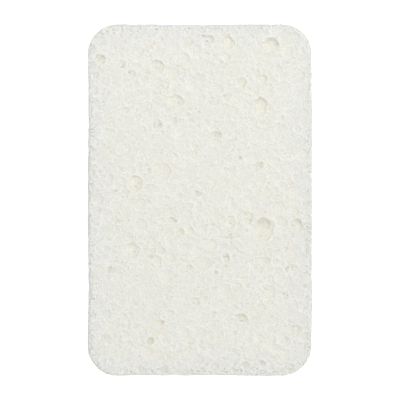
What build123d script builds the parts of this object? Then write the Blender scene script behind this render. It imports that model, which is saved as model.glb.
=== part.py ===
"""Cellulose sponge: a flat foam block with rounded corners, and the plant-fibre strands cast into it.

Millimetres. The sponge lies flat on its resting face at z = 0, centred on the Z axis, its long side along Y.
"""

from build123d import *

import os
from math import sin

# The foam block
LENGTH = 110.0  # along Y
WIDTH = 70.0  # along X
THICKNESS = 18.0  # along Z
CORNER_RADIUS = 9.5  # the four upright corners, as die-cut
RIM_RADIUS = 1.2  # where the sides turn over into the two large faces

# The strands, one in each cell of a grid, so that no two of them touch
STRAND_DIAMETER = 0.4
STRAND_COLUMNS = 3  # cells across the width
STRAND_ROWS = 4  # cells along the length
STRAND_LAYERS = 4  # cells through the thickness
CHORD_SHORT = 13.0  # straight distance between a strand's ends
CHORD_LONG = 18.0
BOW = 2.0  # how far a strand's middle bends away from its chord
LAYING_ANGLE = 137.5  # each strand's heading turns on by this from the last, in degrees
TILT = 3.0  # the strands' slope to either side of level, in degrees


def foam_block():
    """The block: a rounded rectangle with its two rims rounded over."""
    outline = RectangleRounded(WIDTH, LENGTH, CORNER_RADIUS)
    block = extrude(outline, amount=THICKNESS)
    rims = block.faces().sort_by(Axis.Z)[0].edges() + block.faces().sort_by(Axis.Z)[-1].edges()
    return fillet(rims, radius=RIM_RADIUS)


def strand(chord):
    """One bowed strand, lying along X about the origin."""
    path = ThreePointArc((-chord / 2, 0, 0), (0, BOW, 0), (chord / 2, 0, 0))
    start = Plane(origin=path @ 0, z_dir=path % 0)
    return sweep(start * Circle(STRAND_DIAMETER / 2), path=path)


def cell_centre(column, row, layer):
    """The middle of one cell of the grid of strands."""
    return Vector(
        WIDTH * ((column + 0.5) / STRAND_COLUMNS - 0.5),
        LENGTH * ((row + 0.5) / STRAND_ROWS - 0.5),
        THICKNESS * (layer + 0.5) / STRAND_LAYERS,
    )


def fibre_strands():
    """Every strand, each with its own length, heading and slope."""
    strands = []
    for layer in range(STRAND_LAYERS):
        for row in range(STRAND_ROWS):
            for column in range(STRAND_COLUMNS):
                turn = len(strands)
                long_share = 0.5 + 0.5 * sin(turn)
                chord = CHORD_SHORT + (CHORD_LONG - CHORD_SHORT) * long_share
                heading = LAYING_ANGLE * turn
                slope = TILT if turn % 2 else -TILT
                centre = Location(cell_centre(column, row, layer))
                place = centre * Rotation(0, 0, heading) * Rotation(0, slope, 0)
                strands.append(place * strand(chord))
    return Compound(children=strands)


def main():
    os.makedirs("parts", exist_ok=True)
    export_step(foam_block(), "parts/sponge_body.step")
    export_step(fibre_strands(), "parts/reinforcing_fibres.step")


main()
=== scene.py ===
"""Looks of a white cellulose sponge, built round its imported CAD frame.

The frame is in metres. The foam is worked out in millimetres on a grid of small cubes, as a signed field:
below zero is cellulose, above zero is air, and the surface is where the field is zero.
"""

from collections import namedtuple

import bpy
import numpy as np
import openvdb
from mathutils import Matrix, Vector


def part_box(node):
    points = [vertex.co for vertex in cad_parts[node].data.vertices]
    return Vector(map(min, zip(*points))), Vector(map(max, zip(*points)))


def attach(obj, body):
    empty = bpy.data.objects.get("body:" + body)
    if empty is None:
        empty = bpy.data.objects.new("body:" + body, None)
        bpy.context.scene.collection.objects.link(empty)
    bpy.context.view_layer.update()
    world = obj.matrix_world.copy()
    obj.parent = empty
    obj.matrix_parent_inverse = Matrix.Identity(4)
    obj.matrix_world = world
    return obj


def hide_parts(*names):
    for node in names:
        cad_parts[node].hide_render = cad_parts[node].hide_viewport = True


MM = 0.001  # metres in a millimetre
UP = np.array([0.0, 0.0, 1.0])

# The block, beyond what the frame says
CORNER_RADIUS = 9.5
RIM_RADIUS = 1.0
WAIST = 0.2  # how far the two short sides pull in between their corners
SIDE_WANDER = 0.10  # how far the die-cut sides stray from straight
SIDE_WAVE = 34.0  # the usual distance from one bulge to the next
FACE_WANDER = 0.12  # how far the sawn faces stray from flat
FACE_WAVE = 22.0
CREASE = 0.1  # how far the edges of the pores are rounded over

WAVES = 7  # in each random field that the straying and the bending use

# The grid that holds the foam: the side of its cubes, and how far it goes past the block
CUBE = 0.2
MARGIN = 1.0
FAR_FROM_PORES = -9.0  # the value where no pore was carved yet
DEEPEST = 6.0  # the largest depth that is stored for the material

# How far all shapes bend sideways, as pairs of a wavelength and an amount, and where they may
SQUIRMS = ((4.5, 0.25), (1.8, 0.11))
SQUIRM_REACH = 3.0  # inside the outline, where the bending is at its full amount
SQUIRM_AT_OUTLINE = 0.1  # the share of it that is left there

# The raised lip round each pore
LIP_WIDTH = 0.25
LIP_HEIGHT = 0.08
SIDE_LIP = 0.03  # the same on the die-cut sides

# The plant fibres: each strand of the frame is a loose twist of threads, and single ones lie at the surface
STATIONS = 30  # points along a strand
THREADS = 4  # in one strand
THREAD_RADIUS = 0.07
THREAD_STRAY = 0.12  # how far a thread strays from the middle line of its strand
LOOSE_THREADS = 0.01  # to a square mm of the surface
LOOSE_RADIUS = 0.045
LOOSE_LENGTH = (3, 8)
LOOSE_STATIONS = 16
SIDES = 6  # of each thread's section

# The small torn cells along the rims, with the smallest and largest half-size
RIM_PINHOLES = 1.5  # to a square mm
RIM_PINHOLE_SIZE = (0.2, 0.35)
RIM_PINHOLE_DEPTH = (0.3, 0.6)
RIM_REACH = 3.0  # how far from a rim the last of them are

# A lobed pore's lesser hollows, in shares of the main one, and the pinholes in its floor where it is wide
LOBE_STEP = (0.35, 0.6)
LOBE_SIZE = (0.45, 0.75)
WIDE = 1.2  # half-width
PINHOLE_SIZE = (0.2, 0.3)
PINHOLE_DEPTH = 0.5  # beyond the main hollow's

# The foam's colours, where its own colour is the first and the others take over by depth, ridge and rim,
# partly as painted light and painted shade
CUT_FOAM = (0.887, 0.888, 0.824, 1)
# Paler and warmer in the pores: partly their smoother skin, partly painted light that lifts the shade in the
# hollows, the deepest most
PORE_WALL_WITH_PAINTED_LIGHT = (0.979, 0.960, 0.851, 1)
DEEP_PORE_WITH_PAINTED_LIGHT = (0.986, 0.966, 0.85, 1)
# A painted highlight on the ridges between the pores
RIDGE_PAINTED_HIGHLIGHT = (0.928, 0.923, 0.855, 1)
# A grey band of painted shade along the rims
RIM_PAINTED_SHADE = (0.855, 0.857, 0.828, 1)
BLOTCH_TINT = (1.0, 0.985, 0.975, 1)
# Cooler and less yellow towards the rims
RIM_COOL_TINT = (0.966, 0.978, 1.004, 1)

# The foam's patterns, as the number of repeats to a metre
BLOTCHES = 180
CELLS = 1000
FINE_CELLS = 2200
SPECKS = 2400
GRAIN = 3000

# The fibres' two tones, and their patterns in the same way
DARK_STRAW = (0.88, 0.85, 0.75, 1)
PALE_STRAW = (0.95, 0.93, 0.86, 1)
TONES = 300
STREAKS = 7000

# The light: a soft fill from all round, brighter towards +X and -Y and dimmer from below, and one softbox
FILL = 0.884
FILL_LEAN = (0.18, -0.15, 0.0)  # how much brighter towards +X, +Y and +Z
FILL_BELOW = 0.7
HORIZON = 0.05  # how high the change from below to above reaches
BACKDROP = 1.1
SOFTBOX_SIDE = 0.4
SOFTBOX_POWER = 0.66
SOFTBOX_PLACE = (0.09, 0.29, 0.42)

# The camera
LENS = 200
SENSOR = 36
LENGTH_SHARE = 0.88125  # of the picture's height, which the block's length takes up

# The random pores. In mm: smallest and largest half-size, least and greatest depth, and how low and how high
# the middle sits over the surface. Then the tries to a square mm, and the share of the full lip.
PoreKind = namedtuple("PoreKind", "smallest largest shallow deep lowest highest per_mm2 lip lobed")
RANDOM_PORES = [
    PoreKind(1.2, 2.2, 0.5, 1.3, -0.1, 0.05, 0.04, 1.0, lobed=True),
    PoreKind(0.9, 1.9, 0.12, 0.4, -0.05, 0.0, 0.08, 0.7, lobed=False),
    PoreKind(0.5, 0.9, 0.1, 0.36, -0.05, 0.05, 0.24, 0.6, lobed=False),
    PoreKind(0.3, 0.5, 0.1, 0.3, -0.05, 0.05, 0.7, 0.4, lobed=False),
    PoreKind(0.18, 0.3, 0.1, 0.2, 0.0, 0.15, 2.5, 0.0, lobed=False),
]
PINPRICK = 0.3  # half-size up to which a pore may sit on a rim
CLEARANCE = 0.1  # between a random pore and its neighbours
PICKED_ZONE = 4.0  # below the wiping face, where all lobed pores are the listed ones

# How the large pores are cut. A hollow looks deeper than it is, so its real depth is a share of the one in
# the list: the first share up to the first width, and the second share from the second width on. Where
# width times depth is over OVERHUNG square mm, a second hollow is cut further in under the pore's +Y rim.
# Its step is in shares of the width, length and depth, and its size in shares of the main one's half-sizes.
DEPTH_WIDTHS = (2.0, 5.0)
DEPTH_SHARES = (0.4, 0.33)
OVERHUNG = 7.1
HOOD_STEP = (0.0, 0.25, -0.24)
HOOD_SIZE = (0.8, 0.48, 0.75)

# The large open pores of the wiping face, listed one by one: x, y, width, length, depth, lean in degrees
LARGE_PORES = [
    (19.9, -9.3, 5.6, 7.4, 4.2, 0),
    (22.4, 48.4, 4.4, 4.6, 2.4, 0),
    (8.6, 49.0, 4.0, 3.6, 1.8, 0),
    (2.4, 50.2, 4.4, 2.8, 1.8, -12),
    (-31.2, 43.7, 3.4, 3.6, 2.2, 0),
    (-13.3, 41.8, 4.0, 3.8, 1.9, 0),
    (-24.3, 42.4, 2.9, 2.6, 1.4, 0),
    (-21.5, 39.3, 2.8, 2.6, 1.2, 0),
    (12.7, 36.5, 3.4, 3.2, 2.0, 0),
    (19.6, 37.4, 2.4, 2.8, 1.6, 0),
    (30.3, 38.7, 4.4, 4.6, 1.3, 0),
    (-7.7, 31.1, 5.2, 3.0, 1.8, -20),
    (18.7, 28.9, 4.0, 6.2, 2.4, -10),
    (25.6, 25.5, 2.0, 1.8, 1.6, 0),
    (8.3, 32.1, 2.6, 2.4, 1.2, 0),
    (-8.6, 24.5, 2.2, 2.6, 1.8, 0),
    (-13.3, 23.6, 2.8, 3.0, 1.4, 20),
    (5.5, 20.4, 2.8, 2.4, 1.9, -20),
    (12.4, 12.9, 1.2, 1.4, 1.4, 0),
    (18.0, 10.1, 4.2, 1.9, 1.8, 42),
    (1.7, 10.1, 5.4, 4.8, 1.3, 0),
    (-11.8, 8.8, 5.6, 5.0, 1.5, 0),
    (-20.2, 5.0, 4.6, 5.0, 1.8, -30),
    (-0.8, 1.9, 2.8, 1.8, 1.6, 0),
    (30.0, -7.9, 4.2, 3.6, 2.0, 10),
    (14.9, -5.3, 3.0, 4.2, 1.5, 10),
    (9.6, -6.9, 2.8, 3.6, 1.3, 0),
    (-8.6, -6.3, 2.8, 2.0, 1.8, 0),
    (-6.1, -10.0, 2.4, 2.2, 1.9, 0),
    (9.3, -11.3, 1.9, 1.9, 1.5, 0),
    (-25.9, -6.6, 1.6, 1.8, 1.6, 0),
    (-18.7, -7.9, 4.6, 4.4, 1.5, 0),
    (-21.2, -15.7, 4.8, 4.6, 1.8, 0),
    (-15.5, -17.9, 1.5, 1.7, 1.5, 0),
    (-3.3, -21.0, 1.9, 1.9, 1.7, 0),
    (8.3, -18.2, 2.6, 2.8, 1.4, 0),
    (20.2, -18.9, 3.8, 2.6, 1.7, 0),
    (28.4, -21.7, 3.8, 3.6, 1.8, 0),
    (4.9, -22.6, 1.4, 1.4, 1.3, 0),
    (-28.1, -21.7, 1.7, 2.0, 1.5, 0),
    (-1.4, -31.7, 3.2, 2.4, 1.4, -35),
    (21.2, -28.6, 5.0, 4.4, 1.3, 0),
    (26.5, -29.9, 2.6, 2.6, 1.2, 0),
    (13.0, -36.8, 3.4, 2.6, 2.2, 0),
    (29.7, -40.5, 3.4, 3.0, 1.8, 0),
    (-15.5, -43.7, 2.2, 1.9, 1.9, 25),
    (-29.3, -43.4, 3.8, 3.6, 1.3, 0),
    (26.5, -44.0, 3.0, 2.8, 1.3, 0),
    (-12.4, -38.3, 2.8, 1.8, 1.4, 0),
    (19.3, -50.9, 2.0, 1.8, 1.8, 0),
    (14.3, -51.5, 2.6, 2.0, 1.5, 0),
    (-11.8, -53.1, 4.0, 2.6, 1.8, 0),
    (-18.7, -53.1, 4.0, 2.6, 1.6, 0),
    (-3.0, -53.7, 1.8, 1.6, 1.5, 0),
    (27.8, -52.2, 3.4, 2.6, 1.8, 0),
    (33.9, -11.0, 1.6, 3.0, 1.8, 0),
]


def in_face(facing):
    """Two directions in a face that looks the way facing points, along X and Y or level and upright."""
    if abs(facing[2]) > 0.5:
        return np.array([1.0, 0.0, 0.0]), np.array([0.0, 1.0, 0.0])
    return np.array([-facing[1], facing[0], 0.0]), UP


class Foam:
    """The foam's grid, in millimetres, with the pores and the lips that were carved so far.

    low and high are the block's two far corners, and cube is the side of the grid's cubes. pores is above
    zero inside a pore, and lips is how far the surface is raised.
    """

    def __init__(self, low, high, cube):
        self.corners = low, high
        self.cube = cube
        self.low = low - MARGIN
        self.counts = np.ceil((high - low + 2 * MARGIN) / cube).astype(int) + 1
        self.axes = [self.low[k] + cube * np.arange(self.counts[k], dtype=np.float32) for k in range(3)]
        self.pores = np.full(self.counts, FAR_FROM_PORES, np.float32)
        self.lips = np.zeros(self.counts, np.float32)

    def open_grid(self):
        """x, y and z of every cube, ready to be combined."""
        x, y, z = self.axes
        return x[:, None, None], y[None, :, None], z[None, None, :]

    def sample(self, field, points):
        """The field's value in the cube nearest to each point."""
        at = np.clip(np.round((points - self.low) / self.cube).astype(int), 0, self.counts - 1)
        return field[at[:, 0], at[:, 1], at[:, 2]]

    def carve(self, centre, radii, facing=UP, turn=0.0, lip=0.0):
        """Opens one oval pore with steep walls and a flat bottom, inside a raised lip.

        radii are its half-sizes across and into the face, facing is the way the face looks, turn is the
        pore's turn in the face, and lip is the lip's height.
        """
        across, up = in_face(facing)
        widest = max(radii[0], radii[1]) + 3 * LIP_WIDTH * (lip > 0)
        reach = widest * (np.abs(across) + np.abs(up)) + radii[2] * np.abs(facing) + self.cube
        first = np.maximum(np.floor((centre - reach - self.low) / self.cube), 0).astype(int)
        last = np.minimum(np.ceil((centre + reach - self.low) / self.cube) + 1, self.counts).astype(int)
        if np.any(last <= first):
            return
        near = tuple(slice(first[k], last[k]) for k in range(3))
        x, y, z = (self.axes[k][near[k]] - centre[k] for k in range(3))
        x, y = x[:, None, None], y[None, :, None]
        u, v, w = (x * d[0] + y * d[1] + z * d[2] for d in (across, up, facing))
        c, s = np.cos(turn), np.sin(turn)
        around = np.hypot((u * c + v * s) / radii[0], (v * c - u * s) / radii[1])
        far = np.cbrt(around**3 + np.abs(w / radii[2]) ** 3)
        np.maximum(self.pores[near], (1.0 - far) * min(radii), out=self.pores[near])
        if lip > 0:
            from_wall = (around - 1.0) * min(radii[:2]) - 0.5 * LIP_WIDTH
            ring = lip * np.exp(-((from_wall / LIP_WIDTH) ** 2)) * (np.abs(w) < radii[2] + self.cube)
            np.maximum(self.lips[near], ring, out=self.lips[near])


def wander(x, y, wavelength, seed):
    """A smooth random field of x and y, mostly between -1 and 1."""
    rng = np.random.default_rng(seed)
    total = 0.0
    for _ in range(WAVES):
        angle = rng.uniform(0, 2 * np.pi)
        k = 2 * np.pi / (wavelength * rng.uniform(0.6, 1.6))
        total = total + np.sin(k * (x * np.cos(angle) + y * np.sin(angle)) + rng.uniform(0, 2 * np.pi))
    return total / 3.0


def outline_field(x, y, half):
    """How far outside the block's outline a point lies, seen from above.

    The outline is a rounded rectangle with slightly hollow short sides.
    """
    pinch = WAIST * np.cos(np.pi * x / (2 * half[0]))
    qx = np.abs(x) - (half[0] - CORNER_RADIUS)
    qy = np.abs(y) + pinch - (half[1] - CORNER_RADIUS)
    return np.hypot(np.maximum(qx, 0), np.maximum(qy, 0)) + np.minimum(np.maximum(qx, qy), 0) - CORNER_RADIUS


def from_rim(points, low, high):
    """Each point's distance from the nearer of the two rims, where the sides meet the large faces."""
    inward = outline_field(points[:, 0], points[:, 1], (high - low)[:2] / 2)
    from_face = np.minimum(points[:, 2] - low[2], high[2] - points[:, 2])
    return np.hypot(inward, from_face)


def block_field(x, y, z, half, top):
    """The block before its pores, its sides and faces slightly uneven and its rims rounded over."""
    side = outline_field(x, y, half) + SIDE_LIP + SIDE_WANDER * wander(x, y, SIDE_WAVE, 3)
    upper = z - top + FACE_WANDER * wander(x, y, FACE_WAVE, 5)
    face = np.maximum(upper, -z)
    rounded = np.hypot(np.maximum(side + RIM_RADIUS, 0), np.maximum(face + RIM_RADIUS, 0))
    return rounded + np.minimum(np.maximum(side, face) + RIM_RADIUS, 0) - RIM_RADIUS


def smooth_max(a, b, blend):
    """The larger of two fields, with the crease between them rounded over."""
    h = np.maximum(blend - np.abs(a - b), 0) / blend
    return np.maximum(a, b) + h * h * blend / 4


def soften(field, times):
    """A light blur along each axis in turn."""
    for _ in range(times):
        for axis in range(3):
            f = np.moveaxis(field, axis, 0)
            f[1:-1] = 0.5 * f[1:-1] + 0.25 * (f[:-2] + f[2:])
    return field


def outward(points, low, high):
    """The way that the block's nearest face looks at each point: up, down, or out through the sides."""
    q = np.abs(points[:, :2]) - ((high - low)[:2] / 2 - CORNER_RADIUS)
    aside = np.maximum(q, 0) + 1e-6 * (q == q.max(axis=1, keepdims=True))
    aside *= np.sign(points[:, :2]) / np.linalg.norm(aside, axis=1, keepdims=True)
    from_face = np.minimum(points[:, 2] - low[2], high[2] - points[:, 2])
    large = from_face < -outline_field(points[:, 0], points[:, 1], (high - low)[:2] / 2)
    facing = np.zeros((len(points), 3))
    facing[:, :2] = np.where(large[:, None], 0, aside)
    facing[:, 2] = np.where(large, np.sign(points[:, 2] - (low[2] + high[2]) / 2), 0)
    return facing


def scatter(foam, block, rng, per_mm2, lowest, highest):
    """Random points spread over the block, between two heights over it, and the ways that its faces look."""
    skin = np.flatnonzero(np.abs(block) < foam.cube / 2)
    picked = rng.choice(skin, int(len(skin) * foam.cube**2 * per_mm2))
    at = np.stack(np.unravel_index(picked, block.shape), axis=1)
    points = foam.low + at * foam.cube
    facing = outward(points, *foam.corners)
    height = rng.uniform(lowest, highest, len(points)) - block.ravel()[picked]
    shift = rng.uniform(-0.5, 0.5, at.shape) * foam.cube
    height -= np.sum(shift * facing, axis=1)
    return points + shift + facing * height[:, None], facing


def lip_height(facing):
    """The full lip of the face that looks the way facing points."""
    return LIP_HEIGHT if facing[2] else SIDE_LIP


def open_pore(foam, rng, centre, radii, facing, turn):
    """One lobed pore: a main hollow, a few lesser ones that run into it, and pinholes in its floor."""
    axes = np.stack([*in_face(facing), facing])
    foam.carve(centre, radii, facing, turn, lip_height(facing))
    for _ in range(rng.integers(2, 5)):
        step = rng.normal(size=3)
        step = step / np.linalg.norm(step) * radii * rng.uniform(*LOBE_STEP)
        lobe = radii * rng.uniform(*LOBE_SIZE)
        foam.carve(centre + step @ axes, lobe, facing, turn + rng.uniform(-1, 1))
    for _ in range(rng.integers(2, 6) if radii[0] > WIDE else 0):
        angle = rng.uniform(0, 2 * np.pi)
        step = radii[:2] * rng.uniform(0.2, 0.8) * np.array([np.cos(angle), np.sin(angle)])
        size = rng.uniform(*PINHOLE_SIZE)
        foam.carve(centre + step @ axes[:2], np.array([size, size, radii[2] + PINHOLE_DEPTH]), facing, turn)


def carve_large_pores(foam, rng, top):
    """The listed pores, the larger ones cut further in under their +Y rim."""
    for x, y, width, length, depth, lean in LARGE_PORES:
        centre = np.array([x, y, top])
        cut = depth * np.interp(width, DEPTH_WIDTHS, DEPTH_SHARES)
        radii = np.array([width / 2, length / 2, cut])
        open_pore(foam, rng, centre, radii, UP, np.radians(lean))
        if width * depth > OVERHUNG:
            hood = centre + np.multiply(HOOD_STEP, (width, length, depth))
            foam.carve(hood, radii * HOOD_SIZE, UP, np.radians(lean))


def is_clear(foam, centre, radius, facing):
    """Whether a circle in the face, and its middle, stay clear of the pores cut so far."""
    angle = np.linspace(0, 2 * np.pi, 8, endpoint=False)[:, None]
    across, up = in_face(facing)
    circle = centre + radius * (np.cos(angle) * across + np.sin(angle) * up)
    return foam.sample(foam.pores, np.vstack([centre, circle])).max() < 0


def carve_random_pores(foam, block, rng):
    """Everything from dishes a few millimetres wide down to pinpricks, all over the block."""
    top = foam.corners[1][2]
    for kind in RANDOM_PORES:
        points, ways = scatter(foam, block, rng, kind.per_mm2, kind.lowest, kind.highest)
        rims = from_rim(points, *foam.corners)
        for p, facing, rim in zip(points, ways, rims):
            r = rng.uniform(kind.smallest, kind.largest)
            width = r * rng.uniform(1, 1.5)
            depth = min(rng.uniform(kind.shallow, kind.deep), max(rim / 2, kind.shallow))
            radii = np.array([width, r, depth])
            turn = rng.uniform(-0.6, 0.6)
            in_picked_zone = kind.lobed and p[2] > top - PICKED_ZONE
            over_rim = r > PINPRICK and rim < r
            if in_picked_zone or over_rim or not is_clear(foam, p, r + CLEARANCE, facing):
                continue
            if kind.lobed:
                open_pore(foam, rng, p, radii, facing, turn)
            else:
                foam.carve(p, radii, facing, turn, kind.lip * lip_height(facing))


def carve_rim_pinholes(foam, block, rng):
    """The cells that the die and the saw have torn open along the rims."""
    points, _ = scatter(foam, block, rng, RIM_PINHOLES, -0.1, 0.1)
    near = from_rim(points, *foam.corners) < RIM_REACH * rng.uniform(0, 1, len(points))
    for p in points[near]:
        size = rng.uniform(*RIM_PINHOLE_SIZE)
        foam.carve(p, np.array([size, size, rng.uniform(*RIM_PINHOLE_DEPTH)]))


def build_foam(low, high):
    """The whole sponge: its grid, the block with its lips, the finished field, and the surface's mesh."""
    foam = Foam(low, high, CUBE)
    x, y, z = foam.open_grid()
    block = block_field(x, y, z, (high - low)[:2] / 2, high[2]).astype(np.float32)
    rng = np.random.default_rng(11)
    carve_large_pores(foam, rng, high[2])
    carve_random_pores(foam, block, rng)
    carve_rim_pinholes(foam, block, rng)
    block -= foam.lips
    field = smooth_max(block, foam.pores, CREASE)
    grid = openvdb.FloatGrid(1.0)
    grid.copyFromArray(field)
    points, quads = grid.convertToQuads(isovalue=0.0)
    points = foam.low + points * CUBE
    return foam, block, field, points, quads.astype(np.int64)


def connected(count, a, b):
    """A number for each point that is the same for all the points that the pairs a, b join up."""
    label = np.arange(count)
    while True:
        low = np.minimum(label[a], label[b])
        new = label.copy()
        np.minimum.at(new, a, low)
        np.minimum.at(new, b, low)
        new = new[new]
        new = new[new]
        if np.array_equal(new, label):
            return label
        label = new


def largest_piece(count, quads):
    """Which points belong to the one piece that holds most of them, without crumbs and shut hollows."""
    label = connected(count, quads.ravel(), np.roll(quads, -1, axis=1).ravel())
    names, sizes = np.unique(label, return_counts=True)
    return label == names[np.argmax(sizes)]


def squirm(points, inward):
    """Bends all shapes a little sideways, and less near the outline, so that no pore stays a true oval."""
    x, y, z = points.T
    u, v = x + 0.8 * z, y - 0.6 * z
    moved = points.copy()
    freedom = np.clip(inward / SQUIRM_REACH, SQUIRM_AT_OUTLINE, 1)
    for (wavelength, amount), seed in zip(SQUIRMS, (21, 31)):
        moved[:, 0] += freedom * amount * wander(u, v, wavelength, seed)
        moved[:, 1] += freedom * amount * wander(u, v, wavelength, seed + 1)
    return moved


def mesh_object(name, points, quads):
    """A smooth-shaded mesh object from arrays of points in metres and of faces."""
    mesh = bpy.data.meshes.new(name)
    mesh.vertices.add(len(points))
    mesh.vertices.foreach_set("co", points.astype(np.float32).ravel())
    mesh.loops.add(quads.size)
    mesh.loops.foreach_set("vertex_index", quads.astype(np.int32).ravel())
    mesh.polygons.add(len(quads))
    mesh.polygons.foreach_set("loop_start", np.arange(0, quads.size, 4, dtype=np.int32))
    mesh.update(calc_edges=True)
    mesh.shade_smooth()
    obj = bpy.data.objects.new(name, mesh)
    bpy.context.scene.collection.objects.link(obj)
    return obj


def paint(obj, name, values):
    """Stores one number for each point, which the material reads by name."""
    attribute = obj.data.attributes.new(name, "FLOAT", "POINT")
    attribute.data.foreach_set("value", values.astype(np.float32))


def lay_out(obj, points, quads, low, high):
    """A flat map of the block: its two large faces side by side, and its four sides in rows above them."""
    gap = 2.0
    width, length, height = high - low
    middle = points[quads].mean(axis=1)
    to_low, to_high = middle - low, high - middle
    axis = np.argmin(np.minimum(to_low, to_high), axis=1)
    far_side = np.take_along_axis(to_high < to_low, axis[:, None], axis=1)[:, 0]
    across = np.array([1, 0, 0])[axis]
    up = np.array([2, 2, 1])[axis]
    side_row = length + gap + (height + gap) * np.array([[0, 1], [2, 2], [0, 0]])
    left = np.array([[0, 0], [0, width + gap], [0, width + gap]])[axis, far_side.astype(int)]
    lift = np.where(axis == 2, 0, side_row[axis, far_side.astype(int)])
    local = points[quads] - low
    u = np.take_along_axis(local, across[:, None, None], axis=2)[..., 0] + left[:, None]
    v = np.take_along_axis(local, up[:, None, None], axis=2)[..., 0] + lift[:, None]
    whole = length + 3 * (height + gap) + 2 * gap
    places = (np.stack([u, v], axis=-1) + gap) / whole
    layer = obj.data.uv_layers.new(name="OFBake")
    layer.uv.foreach_set("vector", places.astype(np.float32).ravel())


def sponge_foam(low, high):
    """The foam piece, with what its material needs to know about each point, and the grid behind it."""
    foam, block, field, points, quads = build_foam(low, high)
    keep = largest_piece(len(points), quads)
    index = np.cumsum(keep) - 1
    quads = index[quads[keep[quads[:, 0]]]]
    points = points[keep]
    points[:, 2] = np.maximum(points[:, 2], low[2])
    inward = -outline_field(points[:, 0], points[:, 1], (high - low)[:2] / 2)
    obj = mesh_object("sponge_foam", squirm(points, inward) * MM, quads)
    # How deep each point lies, which the material turns into a paler pore colour that is partly painted
    # light
    paint(obj, "depth_mm", np.clip(-foam.sample(block, points), 0, DEEPEST))
    blurred = soften(field.copy(), 3)
    # How far each point stands out on a ridge, where the material paints a highlight
    paint(obj, "ridge_mm", foam.sample(blurred, points) - foam.sample(field, points))
    # How far each point lies from a rim, where the material paints a shade and a cooler tint
    paint(obj, "rim_mm", from_rim(points, low, high))
    lay_out(obj, points, quads, low, high)
    return obj, foam, block


def strand_lines(node):
    """The middle line of each separate strand in a CAD node, as points in mm."""
    mesh = node.data
    points = np.empty(3 * len(mesh.vertices))
    mesh.vertices.foreach_get("co", points)
    points, same = np.unique(np.round(points.reshape(-1, 3) / MM, 3), axis=0, return_inverse=True)
    edges = np.empty(2 * len(mesh.edges), np.int32)
    mesh.edges.foreach_get("vertices", edges)
    a, b = same.ravel()[edges.reshape(-1, 2)].T
    label = connected(len(points), a, b)
    lines = []
    for name in np.unique(label):
        own = points[label == name]
        middle = own.mean(axis=0)
        along = np.linalg.svd(own - middle, full_matrices=False)[2][0]
        reach = (own - middle) @ along
        t = np.linspace(reach.min(), reach.max(), STATIONS)
        line = [np.polyval(np.polyfit(reach, own[:, k], 2), t) for k in range(3)]
        lines.append(np.stack(line, axis=1))
    return lines


def twisted(line, rng):
    """One thread that strays about the middle line of its strand."""
    t = np.linspace(0, 1, len(line))[:, None]
    turns = rng.uniform(1, 3, 3)
    start = rng.uniform(0, 2 * np.pi, 3)
    return line + THREAD_STRAY * rng.uniform(0.4, 0.8, 3) * np.sin(2 * np.pi * turns * t + start)


def loose_threads(foam, block, rng):
    """The middle lines of single threads in the skin of the large faces, which surface here and there."""
    low, high = foam.corners
    points, ways = scatter(foam, block, rng, LOOSE_THREADS, 0, 0)
    lines = []
    t = np.linspace(-1, 1, LOOSE_STATIONS)
    for p, facing in zip(points, ways):
        length = rng.uniform(*LOOSE_LENGTH)
        angle, bow, swell, phase = rng.uniform((0, -1, 0.03, 0), (2 * np.pi, 1, 0.1, 2 * np.pi))
        if not facing[2] or from_rim(p[None], low, high)[0] < length / 2 + 2:
            continue
        run = length / 2 * t
        sway = bow * t**2 + 0.15 * np.sin(5 * t + phase)
        line = np.tile(p, (len(t), 1))
        line[:, 0] += run * np.cos(angle) - sway * np.sin(angle)
        line[:, 1] += run * np.sin(angle) + sway * np.cos(angle)
        above = np.polyval(np.polyfit(t, foam.sample(block, line), 2), t)
        line[:, 2] += facing[2] * (swell * np.sin(4 * t + phase) - 0.03 - above)
        lines.append(line)
    return lines


def tube(line, radius):
    """The points and four-sided faces of a closed round thread along a line, with tapered ends."""
    along = np.gradient(line, axis=0)
    along /= np.linalg.norm(along, axis=1, keepdims=True)
    side = np.cross(along, np.eye(3)[np.argmin(np.abs(along).mean(axis=0))])
    side /= np.linalg.norm(side, axis=1, keepdims=True)
    over = np.cross(side, along)
    thick = radius * np.clip(1 - np.abs(np.linspace(-1, 1, len(line))) ** 8, 0.4, 1)[:, None, None]
    angle = np.linspace(0, 2 * np.pi, SIDES, endpoint=False)[None, :, None]
    rings = line[:, None] + thick * (np.cos(angle) * side[:, None] + np.sin(angle) * over[:, None])
    number = np.arange(len(line) * SIDES).reshape(len(line), SIDES)
    after = np.roll(number, -1, axis=1)
    wall = np.stack([number[:-1], number[1:], after[1:], after[:-1]], axis=-1).reshape(-1, 4)
    start, end = number[0], number[-1]
    ends = [start[[0, 1, 2, 3]], start[[0, 3, 4, 5]], end[[3, 2, 1, 0]], end[[5, 4, 3, 0]]]
    return rings.reshape(-1, 3), np.concatenate([wall, ends])


def plant_fibres(node, foam, block):
    """The fibre piece: a twist of threads along each strand of the frame, and the loose threads."""
    rng = np.random.default_rng(41)
    threads = [(twisted(line, rng), THREAD_RADIUS) for line in strand_lines(node) for _ in range(THREADS)]
    threads += [(line, LOOSE_RADIUS) for line in loose_threads(foam, block, rng)]
    points, quads = [], []
    count = 0
    for line, radius in threads:
        p, q = tube(line, radius)
        p[:, 2] = np.maximum(p[:, 2], foam.corners[0][2])
        points.append(p)
        quads.append(q + count)
        count += len(p)
    return mesh_object("plant_fibres", np.concatenate(points) * MM, np.concatenate(quads))


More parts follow.
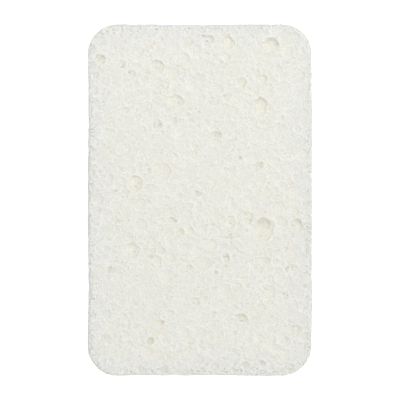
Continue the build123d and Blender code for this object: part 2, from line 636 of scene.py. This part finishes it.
class Shading:
    """A short way to build the nodes of a material or of the world, round the shader that it starts with."""

    def __init__(self, owner, shader):
        owner.use_nodes = True
        self.owner = owner
        self.tree = owner.node_tree
        self.shader = self.tree.nodes[shader]

    def put(self, value, socket):
        """Gives a socket a value, or links it where the value is another node's socket."""
        if isinstance(value, bpy.types.NodeSocket):
            self.tree.links.new(value, socket)
        else:
            socket.default_value = value

    def set(self, node, **inputs):
        """Gives some of a node's inputs their values, by name."""
        for key, value in inputs.items():
            self.put(value, node.inputs[key.replace("_", " ")])

    def set_in_order(self, node, *values):
        """Gives a node's first inputs their values, in the order in which it has them."""
        for value, socket in zip(values, node.inputs):
            self.put(value, socket)

    def add(self, kind, **inputs):
        """A new node of a kind, with its inputs set."""
        node = self.tree.nodes.new("ShaderNode" + kind)
        self.set(node, **inputs)
        return node

    def mapped(self, value, low, high, to_low=0.0, to_high=1.0):
        """A value brought from one range to another, with soft ends."""
        node = self.add("MapRange")
        node.interpolation_type = "SMOOTHSTEP"
        self.set(node, Value=value, From_Min=low, From_Max=high, To_Min=to_low, To_Max=to_high)
        return node.outputs["Result"]

    def mixed(self, factor, a, b, blend="MIX"):
        """Two colours, blended as far as the factor says."""
        node = self.tree.nodes.new("ShaderNodeMix")
        node.data_type = "RGBA"
        node.blend_type = blend
        self.set(node, Factor=factor, A=a, B=b)
        return node.outputs["Result"]

    def painted(self, name):
        """The numbers that paint() stored under a name."""
        node = self.add("Attribute")
        node.attribute_name = name
        return node.outputs["Fac"]

    def cells(self, where, scale):
        """How far a point lies from the nearest wall of a random cell pattern."""
        node = self.add("TexVoronoi", Vector=where, Scale=scale)
        node.feature = "DISTANCE_TO_EDGE"
        return node.outputs["Distance"]

    def worked_out(self, kind, operation, *values):
        """The number that a Math or VectorMath node makes of its values."""
        node = self.add(kind)
        node.operation = operation
        self.set_in_order(node, *values)
        return node.outputs["Value"]

    def add_up(self, a, b, share):
        """The first value plus a share of the second."""
        return self.worked_out("Math", "MULTIPLY_ADD", b, share, a)

    def noise(self, where, scale, detail=2.0, roughness=0.5):
        """A cloudy random pattern between 0 and 1."""
        node = self.add("TexNoise", Vector=where, Scale=scale, Detail=detail, Roughness=roughness)
        return node.outputs["Fac"]

    def tinted(self, factor, colour, tint):
        """The colour, multiplied by a tint as far as the factor says."""
        return self.mixed(factor, colour, self.mixed(1.0, colour, tint, "MULTIPLY"))


def material_shading(name):
    """The nodes of a new material."""
    return Shading(bpy.data.materials.new(name), "Principled BSDF")


def foam_material():
    """Dry cellulose: greyish cream where it was cut, smoother and warmer inside the pores and paler there
    partly as painted light, with a painted highlight on the ridges and painted shade along the rims.
    """
    s = material_shading("cellulose_foam")
    where = s.add("TexCoord").outputs["Object"]
    s.set(s.shader, Specular_IOR_Level=0.4, Subsurface_Weight=0.6, Subsurface_Scale=0.0007)
    s.shader.inputs["Subsurface Radius"].default_value = (1.0, 0.95, 0.8)

    # Paler and warmer with depth: partly the pores' smoother skin, partly painted light that lifts the shade
    # in the hollows
    deep = s.mapped(s.painted("depth_mm"), 0.05, 0.7)
    colour = s.mixed(deep, CUT_FOAM, PORE_WALL_WITH_PAINTED_LIGHT)
    deeper = s.mapped(s.painted("depth_mm"), 0.8, 2.0)
    colour = s.mixed(deeper, colour, DEEP_PORE_WITH_PAINTED_LIGHT)
    blotch = s.mapped(s.noise(where, BLOTCHES), 0.35, 0.65)
    colour = s.tinted(blotch, colour, BLOTCH_TINT)
    # A painted highlight where the surface stands out on a ridge
    ridge_highlight = s.mapped(s.painted("ridge_mm"), 0.0, 0.06)
    colour = s.mixed(ridge_highlight, colour, RIDGE_PAINTED_HIGHLIGHT)
    # Cooler and less yellow towards the rims, fading out 10 mm in
    cooler_near_rims = s.mapped(s.painted("rim_mm"), 0.0, 10.0, 1.0, 0.0)
    colour = s.tinted(cooler_near_rims, colour, RIM_COOL_TINT)
    # Painted shade: a grey band along the rims, within 2.8 mm of them
    rim_shade = s.mapped(s.painted("rim_mm"), 0.0, 2.8, 1.0, 0.0)
    colour = s.mixed(rim_shade, colour, RIM_PAINTED_SHADE)
    cell_wall = s.mapped(s.cells(where, CELLS), 0.0, 0.16, 1.0, 0.0)
    fine_wall = s.mapped(s.cells(where, FINE_CELLS), 0.0, 0.2, 1.0, 0.0)
    walls = s.add_up(cell_wall, fine_wall, 0.6)
    fleck = s.mapped(walls, 0.0, 1.6, 0.985, 1.035)
    colour = s.mixed(1.0, colour, fleck, "MULTIPLY")
    speck = s.mapped(s.noise(where, SPECKS), 0.5, 0.72, 0.978, 1.12)
    colour = s.mixed(1.0, colour, speck, "MULTIPLY")
    s.set(s.shader, Base_Color=colour)

    s.set(s.shader, Roughness=s.mapped(deep, 0.0, 1.0, 0.85, 0.5))
    grain = s.add_up(walls, s.noise(where, GRAIN, 3, 0.7), 1.5)
    bump = s.add("Bump", Strength=1.0, Distance=0.0001, Height=grain)
    s.set(s.shader, Normal=bump.outputs["Normal"])
    return s.owner


def fibre_material():
    """Flax and cotton: pale straw threads with a faint sheen and fine streaks."""
    s = material_shading("plant_fibre")
    where = s.add("TexCoord").outputs["Object"]
    s.set(s.shader, Specular_IOR_Level=0.4, Sheen_Weight=0.3, Subsurface_Weight=0.4, Subsurface_Scale=0.0005)
    tone = s.mapped(s.noise(where, TONES), 0.35, 0.65)
    colour = s.mixed(tone, DARK_STRAW, PALE_STRAW)
    streak = s.noise(where, STREAKS, 3, 0.6)
    colour = s.mixed(1.0, colour, s.mapped(streak, 0.3, 0.7, 0.93, 1.03), "MULTIPLY")
    s.set(s.shader, Base_Color=colour, Roughness=s.mapped(streak, 0.3, 0.7, 0.7, 0.5))
    bump = s.add("Bump", Strength=0.6, Distance=0.00002, Height=streak)
    s.set(s.shader, Normal=bump.outputs["Normal"])
    return s.owner


def floor(low):
    """A plain pale floor under the sponge, which glows a little and throws no light on the sponge."""
    bpy.ops.mesh.primitive_plane_add(size=4, location=(0, 0, low.z))
    obj = bpy.context.object
    obj.name = "floor"
    s = material_shading("floor")
    s.set(s.shader, Base_Color=(0.4, 0.4, 0.4, 1), Roughness=0.9, Specular_IOR_Level=0.0)
    s.set(s.shader, Emission_Color=(1, 1, 1, 1), Emission_Strength=0.85)
    obj.data.materials.append(s.owner)
    obj.visible_diffuse = False


def fill_light():
    """Soft light from all round, while the camera itself sees a plain white backdrop."""
    s = Shading(bpy.data.worlds.new("studio"), "Background")
    bpy.context.scene.world = s.owner
    way = s.add("TexCoord").outputs["Generated"]
    z = s.add("SeparateXYZ", Vector=way).outputs["Z"]
    rise = s.add("MapRange", Value=z, From_Min=-HORIZON, From_Max=HORIZON, To_Min=FILL_BELOW, To_Max=1.0)
    height = rise.outputs["Result"]
    lean = s.worked_out("VectorMath", "DOT_PRODUCT", way, FILL_LEAN)
    level = s.worked_out("Math", "MULTIPLY_ADD", lean, height, height)
    s.set(s.shader, Color=level, Strength=FILL)
    backdrop = s.add("Background", Color=(1, 1, 1, 1), Strength=BACKDROP)
    to_camera = s.add("LightPath").outputs["Is Camera Ray"]
    mix = s.add("MixShader")
    s.set_in_order(mix, to_camera, s.shader.outputs["Background"], backdrop.outputs["Background"])
    s.set(s.tree.nodes["World Output"], Surface=mix.outputs["Shader"])


def softbox():
    """One large soft lamp high over the +Y end, turned to the sponge."""
    light = bpy.data.lights.new("softbox", "AREA")
    light.size = SOFTBOX_SIDE
    light.energy = SOFTBOX_POWER
    obj = bpy.data.objects.new("softbox", light)
    obj.location = SOFTBOX_PLACE
    obj.rotation_euler = (-obj.location).to_track_quat("-Z", "Y").to_euler()
    bpy.context.scene.collection.objects.link(obj)


def camera(low, high):
    """Straight above the sponge, so far away that its outline fills its share of the square picture."""
    data = bpy.data.cameras.new("camera")
    data.lens = LENS
    data.sensor_width = SENSOR
    obj = bpy.data.objects.new("camera", data)
    outline = high.z - RIM_RADIUS * MM
    picture = (high.y - low.y) / LENGTH_SHARE
    obj.location = (0, 0, outline + picture * LENS / SENSOR)
    bpy.context.scene.collection.objects.link(obj)
    bpy.context.scene.camera = obj


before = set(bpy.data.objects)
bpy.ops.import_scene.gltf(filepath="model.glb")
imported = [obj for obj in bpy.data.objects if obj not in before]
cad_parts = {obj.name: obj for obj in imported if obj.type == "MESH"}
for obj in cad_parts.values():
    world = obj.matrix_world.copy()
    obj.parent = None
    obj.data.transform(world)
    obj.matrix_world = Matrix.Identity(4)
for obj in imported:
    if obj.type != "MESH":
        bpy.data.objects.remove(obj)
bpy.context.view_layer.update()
low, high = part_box("sponge_body")
sponge, foam, block = sponge_foam(np.array(low) / MM, np.array(high) / MM)
sponge.data.materials.append(foam_material())
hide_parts("sponge_body")
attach(sponge, "root")
fibres = plant_fibres(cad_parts["reinforcing_fibres"], foam, block)
fibres.data.materials.append(fibre_material())
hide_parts("reinforcing_fibres")
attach(fibres, "root")
floor(low)
fill_light()
softbox()
camera(low, high)
bpy.context.scene.view_settings.view_transform = "Standard"
